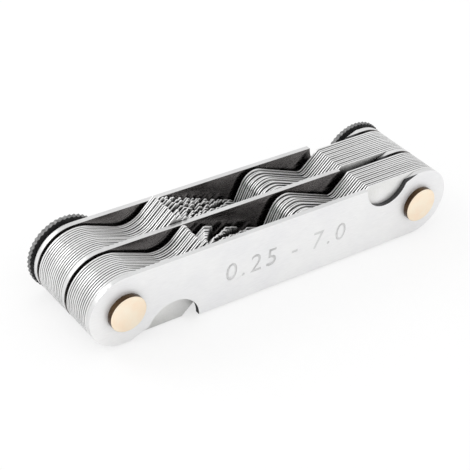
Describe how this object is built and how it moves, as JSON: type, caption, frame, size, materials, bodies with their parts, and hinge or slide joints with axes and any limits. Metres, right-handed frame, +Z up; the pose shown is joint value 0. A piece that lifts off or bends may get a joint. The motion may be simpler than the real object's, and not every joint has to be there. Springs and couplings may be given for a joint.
{
  "type": "thread pitch gauge",
  "caption": "Folding thread pitch gauge: toothed steel blades in two packs between notched case plates, on screw pivots with knurled nuts.",
  "frame": {"origin": "bottom centre of the bounding box, with the gauge standing on its long edge", "axes": "+X along the case from the left pivot to the right one, -Y out of the front plate, where the screw heads are, +Z up across the case"},
  "size_m": [0.0928, 0.0246, 0.0183],
  "materials": {
    "plate_steel": "satin ground steel sheet, bright edges",
    "blade_steel": "bright spring steel sheet, ground faces",
    "brass": "pale brass, turned",
    "washer_steel": "dark steel washer",
    "black_nut": "blackened steel, knurled rim"
  },
  "bodies": {
    "case": {"front_plate": "plate_steel", "middle_plate": "plate_steel", "back_plate": "plate_steel", "left_pivot_screw": "brass", "right_pivot_screw": "brass", "spacer_washers": "washer_steel"},
    "left_thumb_nut": {"left_thumb_nut": "black_nut"},
    "right_thumb_nut": {"right_thumb_nut": "black_nut"},
    "blade_1_5_mm": {"blade_1_5_mm": "blade_steel"},
    "blade_1_75_mm": {"blade_1_75_mm": "blade_steel"},
    "blade_2_mm": {"blade_2_mm": "blade_steel"},
    "blade_2_5_mm": {"blade_2_5_mm": "blade_steel"},
    "blade_3_mm": {"blade_3_mm": "blade_steel"},
    "blade_3_5_mm": {"blade_3_5_mm": "blade_steel"},
    "blade_4_mm": {"blade_4_mm": "blade_steel"},
    "blade_4_5_mm": {"blade_4_5_mm": "blade_steel"},
    "blade_5_mm": {"blade_5_mm": "blade_steel"},
    "blade_5_5_mm": {"blade_5_5_mm": "blade_steel"},
    "blade_6_mm": {"blade_6_mm": "blade_steel"},
    "blade_7_mm": {"blade_7_mm": "blade_steel"},
    "blade_1_25_mm": {"blade_1_25_mm": "blade_steel"},
    "blade_1_mm": {"blade_1_mm": "blade_steel"},
    "blade_0_9_mm": {"blade_0_9_mm": "blade_steel"},
    "blade_0_8_mm": {"blade_0_8_mm": "blade_steel"},
    "blade_0_75_mm": {"blade_0_75_mm": "blade_steel"},
    "blade_0_7_mm": {"blade_0_7_mm": "blade_steel"},
    "blade_0_6_mm": {"blade_0_6_mm": "blade_steel"},
    "blade_0_5_mm": {"blade_0_5_mm": "blade_steel"},
    "blade_0_45_mm": {"blade_0_45_mm": "blade_steel"},
    "blade_0_4_mm": {"blade_0_4_mm": "blade_steel"},
    "blade_0_35_mm": {"blade_0_35_mm": "blade_steel"},
    "blade_0_25_mm": {"blade_0_25_mm": "blade_steel"},
    "blade_18_tpi": {"blade_18_tpi": "blade_steel"},
    "blade_16_tpi": {"blade_16_tpi": "blade_steel"},
    "blade_13_tpi": {"blade_13_tpi": "blade_steel"},
    "blade_12_tpi": {"blade_12_tpi": "blade_steel"},
    "blade_10_tpi": {"blade_10_tpi": "blade_steel"},
    "blade_4_tpi": {"blade_4_tpi": "blade_steel"},
    "blade_4_5_tpi": {"blade_4_5_tpi": "blade_steel"},
    "blade_5_tpi": {"blade_5_tpi": "blade_steel"},
    "blade_6_tpi": {"blade_6_tpi": "blade_steel"},
    "blade_7_tpi": {"blade_7_tpi": "blade_steel"},
    "blade_8_tpi": {"blade_8_tpi": "blade_steel"},
    "blade_9_tpi": {"blade_9_tpi": "blade_steel"},
    "blade_11_tpi": {"blade_11_tpi": "blade_steel"},
    "blade_14_tpi": {"blade_14_tpi": "blade_steel"},
    "blade_19_tpi": {"blade_19_tpi": "blade_steel"},
    "blade_20_tpi": {"blade_20_tpi": "blade_steel"},
    "blade_22_tpi": {"blade_22_tpi": "blade_steel"},
    "blade_24_tpi": {"blade_24_tpi": "blade_steel"},
    "blade_25_tpi": {"blade_25_tpi": "blade_steel"},
    "blade_26_tpi": {"blade_26_tpi": "blade_steel"},
    "blade_28_tpi": {"blade_28_tpi": "blade_steel"},
    "blade_30_tpi": {"blade_30_tpi": "blade_steel"},
    "blade_32_tpi": {"blade_32_tpi": "blade_steel"},
    "blade_36_tpi": {"blade_36_tpi": "blade_steel"},
    "blade_40_tpi": {"blade_40_tpi": "blade_steel"},
    "blade_48_tpi": {"blade_48_tpi": "blade_steel"},
    "blade_60_tpi": {"blade_60_tpi": "blade_steel"},
    "blade_62_tpi": {"blade_62_tpi": "blade_steel"}
  },
  "joints": [
    {"name": "blade_1_5_mm_pivot", "type": "hinge", "parent": "case", "child": "blade_1_5_mm", "pos_m": [-0.038, 0, 0.0084], "axis": [0, -1, 0], "range_deg": [0, 180]},
    {"name": "blade_1_75_mm_pivot", "type": "hinge", "parent": "case", "child": "blade_1_75_mm", "pos_m": [-0.038, 0, 0.0084], "axis": [0, -1, 0], "range_deg": [0, 180]},
    {"name": "blade_2_mm_pivot", "type": "hinge", "parent": "case", "child": "blade_2_mm", "pos_m": [-0.038, 0, 0.0084], "axis": [0, -1, 0], "range_deg": [0, 180]},
    {"name": "blade_2_5_mm_pivot", "type": "hinge", "parent": "case", "child": "blade_2_5_mm", "pos_m": [-0.038, 0, 0.0084], "axis": [0, -1, 0], "range_deg": [0, 180]},
    {"name": "blade_3_mm_pivot", "type": "hinge", "parent": "case", "child": "blade_3_mm", "pos_m": [-0.038, 0, 0.0084], "axis": [0, -1, 0], "range_deg": [0, 180]},
    {"name": "blade_3_5_mm_pivot", "type": "hinge", "parent": "case", "child": "blade_3_5_mm", "pos_m": [-0.038, 0, 0.0084], "axis": [0, -1, 0], "range_deg": [0, 180]},
    {"name": "blade_4_mm_pivot", "type": "hinge", "parent": "case", "child": "blade_4_mm", "pos_m": [-0.038, 0, 0.0084], "axis": [0, -1, 0], "range_deg": [0, 180]},
    {"name": "blade_4_5_mm_pivot", "type": "hinge", "parent": "case", "child": "blade_4_5_mm", "pos_m": [-0.038, 0, 0.0084], "axis": [0, -1, 0], "range_deg": [0, 180]},
    {"name": "blade_5_mm_pivot", "type": "hinge", "parent": "case", "child": "blade_5_mm", "pos_m": [-0.038, 0, 0.0084], "axis": [0, -1, 0], "range_deg": [0, 180]},
    {"name": "blade_5_5_mm_pivot", "type": "hinge", "parent": "case", "child": "blade_5_5_mm", "pos_m": [-0.038, 0, 0.0084], "axis": [0, -1, 0], "range_deg": [0, 180]},
    {"name": "blade_6_mm_pivot", "type": "hinge", "parent": "case", "child": "blade_6_mm", "pos_m": [-0.038, 0, 0.0084], "axis": [0, -1, 0], "range_deg": [0, 180]},
    {"name": "blade_7_mm_pivot", "type": "hinge", "parent": "case", "child": "blade_7_mm", "pos_m": [-0.038, 0, 0.0084], "axis": [0, -1, 0], "range_deg": [0, 180]},
    {"name": "blade_1_25_mm_pivot", "type": "hinge", "parent": "case", "child": "blade_1_25_mm", "pos_m": [0.038, 0, 0.0084], "axis": [0, -1, 0], "range_deg": [0, 180]},
    {"name": "blade_1_mm_pivot", "type": "hinge", "parent": "case", "child": "blade_1_mm", "pos_m": [0.038, 0, 0.0084], "axis": [0, -1, 0], "range_deg": [0, 180]},
    {"name": "blade_0_9_mm_pivot", "type": "hinge", "parent": "case", "child": "blade_0_9_mm", "pos_m": [0.038, 0, 0.0084], "axis": [0, -1, 0], "range_deg": [0, 180]},
    {"name": "blade_0_8_mm_pivot", "type": "hinge", "parent": "case", "child": "blade_0_8_mm", "pos_m": [0.038, 0, 0.0084], "axis": [0, -1, 0], "range_deg": [0, 180]},
    {"name": "blade_0_75_mm_pivot", "type": "hinge", "parent": "case", "child": "blade_0_75_mm", "pos_m": [0.038, 0, 0.0084], "axis": [0, -1, 0], "range_deg": [0, 180]},
    {"name": "blade_0_7_mm_pivot", "type": "hinge", "parent": "case", "child": "blade_0_7_mm", "pos_m": [0.038, 0, 0.0084], "axis": [0, -1, 0], "range_deg": [0, 180]},
    {"name": "blade_0_6_mm_pivot", "type": "hinge", "parent": "case", "child": "blade_0_6_mm", "pos_m": [0.038, 0, 0.0084], "axis": [0, -1, 0], "range_deg": [0, 180]},
    {"name": "blade_0_5_mm_pivot", "type": "hinge", "parent": "case", "child": "blade_0_5_mm", "pos_m": [0.038, 0, 0.0084], "axis": [0, -1, 0], "range_deg": [0, 180]},
    {"name": "blade_0_45_mm_pivot", "type": "hinge", "parent": "case", "child": "blade_0_45_mm", "pos_m": [0.038, 0, 0.0084], "axis": [0, -1, 0], "range_deg": [0, 180]},
    {"name": "blade_0_4_mm_pivot", "type": "hinge", "parent": "case", "child": "blade_0_4_mm", "pos_m": [0.038, 0, 0.0084], "axis": [0, -1, 0], "range_deg": [0, 180]},
    {"name": "blade_0_35_mm_pivot", "type": "hinge", "parent": "case", "child": "blade_0_35_mm", "pos_m": [0.038, 0, 0.0084], "axis": [0, -1, 0], "range_deg": [0, 180]},
    {"name": "blade_0_25_mm_pivot", "type": "hinge", "parent": "case", "child": "blade_0_25_mm", "pos_m": [0.038, 0, 0.0084], "axis": [0, -1, 0], "range_deg": [0, 180]},
    {"name": "blade_18_tpi_pivot", "type": "hinge", "parent": "case", "child": "blade_18_tpi", "pos_m": [-0.038, 0, 0.0084], "axis": [0, -1, 0], "range_deg": [0, 180]},
    {"name": "blade_16_tpi_pivot", "type": "hinge", "parent": "case", "child": "blade_16_tpi", "pos_m": [-0.038, 0, 0.0084], "axis": [0, -1, 0], "range_deg": [0, 180]},
    {"name": "blade_13_tpi_pivot", "type": "hinge", "parent": "case", "child": "blade_13_tpi", "pos_m": [-0.038, 0, 0.0084], "axis": [0, -1, 0], "range_deg": [0, 180]},
    {"name": "blade_12_tpi_pivot", "type": "hinge", "parent": "case", "child": "blade_12_tpi", "pos_m": [-0.038, 0, 0.0084], "axis": [0, -1, 0], "range_deg": [0, 180]},
    {"name": "blade_10_tpi_pivot", "type": "hinge", "parent": "case", "child": "blade_10_tpi", "pos_m": [-0.038, 0, 0.0084], "axis": [0, -1, 0], "range_deg": [0, 180]},
    {"name": "blade_4_tpi_pivot", "type": "hinge", "parent": "case", "child": "blade_4_tpi", "pos_m": [-0.038, 0, 0.0084], "axis": [0, -1, 0], "range_deg": [0, 180]},
    {"name": "blade_4_5_tpi_pivot", "type": "hinge", "parent": "case", "child": "blade_4_5_tpi", "pos_m": [-0.038, 0, 0.0084], "axis": [0, -1, 0], "range_deg": [0, 180]},
    {"name": "blade_5_tpi_pivot", "type": "hinge", "parent": "case", "child": "blade_5_tpi", "pos_m": [-0.038, 0, 0.0084], "axis": [0, -1, 0], "range_deg": [0, 180]},
    {"name": "blade_6_tpi_pivot", "type": "hinge", "parent": "case", "child": "blade_6_tpi", "pos_m": [-0.038, 0, 0.0084], "axis": [0, -1, 0], "range_deg": [0, 180]},
    {"name": "blade_7_tpi_pivot", "type": "hinge", "parent": "case", "child": "blade_7_tpi", "pos_m": [-0.038, 0, 0.0084], "axis": [0, -1, 0], "range_deg": [0, 180]},
    {"name": "blade_8_tpi_pivot", "type": "hinge", "parent": "case", "child": "blade_8_tpi", "pos_m": [-0.038, 0, 0.0084], "axis": [0, -1, 0], "range_deg": [0, 180]},
    {"name": "blade_9_tpi_pivot", "type": "hinge", "parent": "case", "child": "blade_9_tpi", "pos_m": [-0.038, 0, 0.0084], "axis": [0, -1, 0], "range_deg": [0, 180]},
    {"name": "blade_11_tpi_pivot", "type": "hinge", "parent": "case", "child": "blade_11_tpi", "pos_m": [-0.038, 0, 0.0084], "axis": [0, -1, 0], "range_deg": [0, 180]},
    {"name": "blade_14_tpi_pivot", "type": "hinge", "parent": "case", "child": "blade_14_tpi", "pos_m": [-0.038, 0, 0.0084], "axis": [0, -1, 0], "range_deg": [0, 180]},
    {"name": "blade_19_tpi_pivot", "type": "hinge", "parent": "case", "child": "blade_19_tpi", "pos_m": [0.038, 0, 0.0084], "axis": [0, -1, 0], "range_deg": [0, 180]},
    {"name": "blade_20_tpi_pivot", "type": "hinge", "parent": "case", "child": "blade_20_tpi", "pos_m": [0.038, 0, 0.0084], "axis": [0, -1, 0], "range_deg": [0, 180]},
    {"name": "blade_22_tpi_pivot", "type": "hinge", "parent": "case", "child": "blade_22_tpi", "pos_m": [0.038, 0, 0.0084], "axis": [0, -1, 0], "range_deg": [0, 180]},
    {"name": "blade_24_tpi_pivot", "type": "hinge", "parent": "case", "child": "blade_24_tpi", "pos_m": [0.038, 0, 0.0084], "axis": [0, -1, 0], "range_deg": [0, 180]},
    {"name": "blade_25_tpi_pivot", "type": "hinge", "parent": "case", "child": "blade_25_tpi", "pos_m": [0.038, 0, 0.0084], "axis": [0, -1, 0], "range_deg": [0, 180]},
    {"name": "blade_26_tpi_pivot", "type": "hinge", "parent": "case", "child": "blade_26_tpi", "pos_m": [0.038, 0, 0.0084], "axis": [0, -1, 0], "range_deg": [0, 180]},
    {"name": "blade_28_tpi_pivot", "type": "hinge", "parent": "case", "child": "blade_28_tpi", "pos_m": [0.038, 0, 0.0084], "axis": [0, -1, 0], "range_deg": [0, 180]},
    {"name": "blade_30_tpi_pivot", "type": "hinge", "parent": "case", "child": "blade_30_tpi", "pos_m": [0.038, 0, 0.0084], "axis": [0, -1, 0], "range_deg": [0, 180]},
    {"name": "blade_32_tpi_pivot", "type": "hinge", "parent": "case", "child": "blade_32_tpi", "pos_m": [0.038, 0, 0.0084], "axis": [0, -1, 0], "range_deg": [0, 180]},
    {"name": "blade_36_tpi_pivot", "type": "hinge", "parent": "case", "child": "blade_36_tpi", "pos_m": [0.038, 0, 0.0084], "axis": [0, -1, 0], "range_deg": [0, 180]},
    {"name": "blade_40_tpi_pivot", "type": "hinge", "parent": "case", "child": "blade_40_tpi", "pos_m": [0.038, 0, 0.0084], "axis": [0, -1, 0], "range_deg": [0, 180]},
    {"name": "blade_48_tpi_pivot", "type": "hinge", "parent": "case", "child": "blade_48_tpi", "pos_m": [0.038, 0, 0.0084], "axis": [0, -1, 0], "range_deg": [0, 180]},
    {"name": "blade_60_tpi_pivot", "type": "hinge", "parent": "case", "child": "blade_60_tpi", "pos_m": [0.038, 0, 0.0084], "axis": [0, -1, 0], "range_deg": [0, 180]},
    {"name": "blade_62_tpi_pivot", "type": "hinge", "parent": "case", "child": "blade_62_tpi", "pos_m": [0.038, 0, 0.0084], "axis": [0, -1, 0], "range_deg": [0, 180]},
    {"name": "left_nut_turn", "type": "hinge", "parent": "case", "child": "left_thumb_nut", "pos_m": [-0.038, 0, 0.0084], "axis": [0, 1, 0], "continuous": true},
    {"name": "right_nut_turn", "type": "hinge", "parent": "case", "child": "right_thumb_nut", "pos_m": [0.038, 0, 0.0084], "axis": [0, 1, 0], "continuous": true}
  ]
}
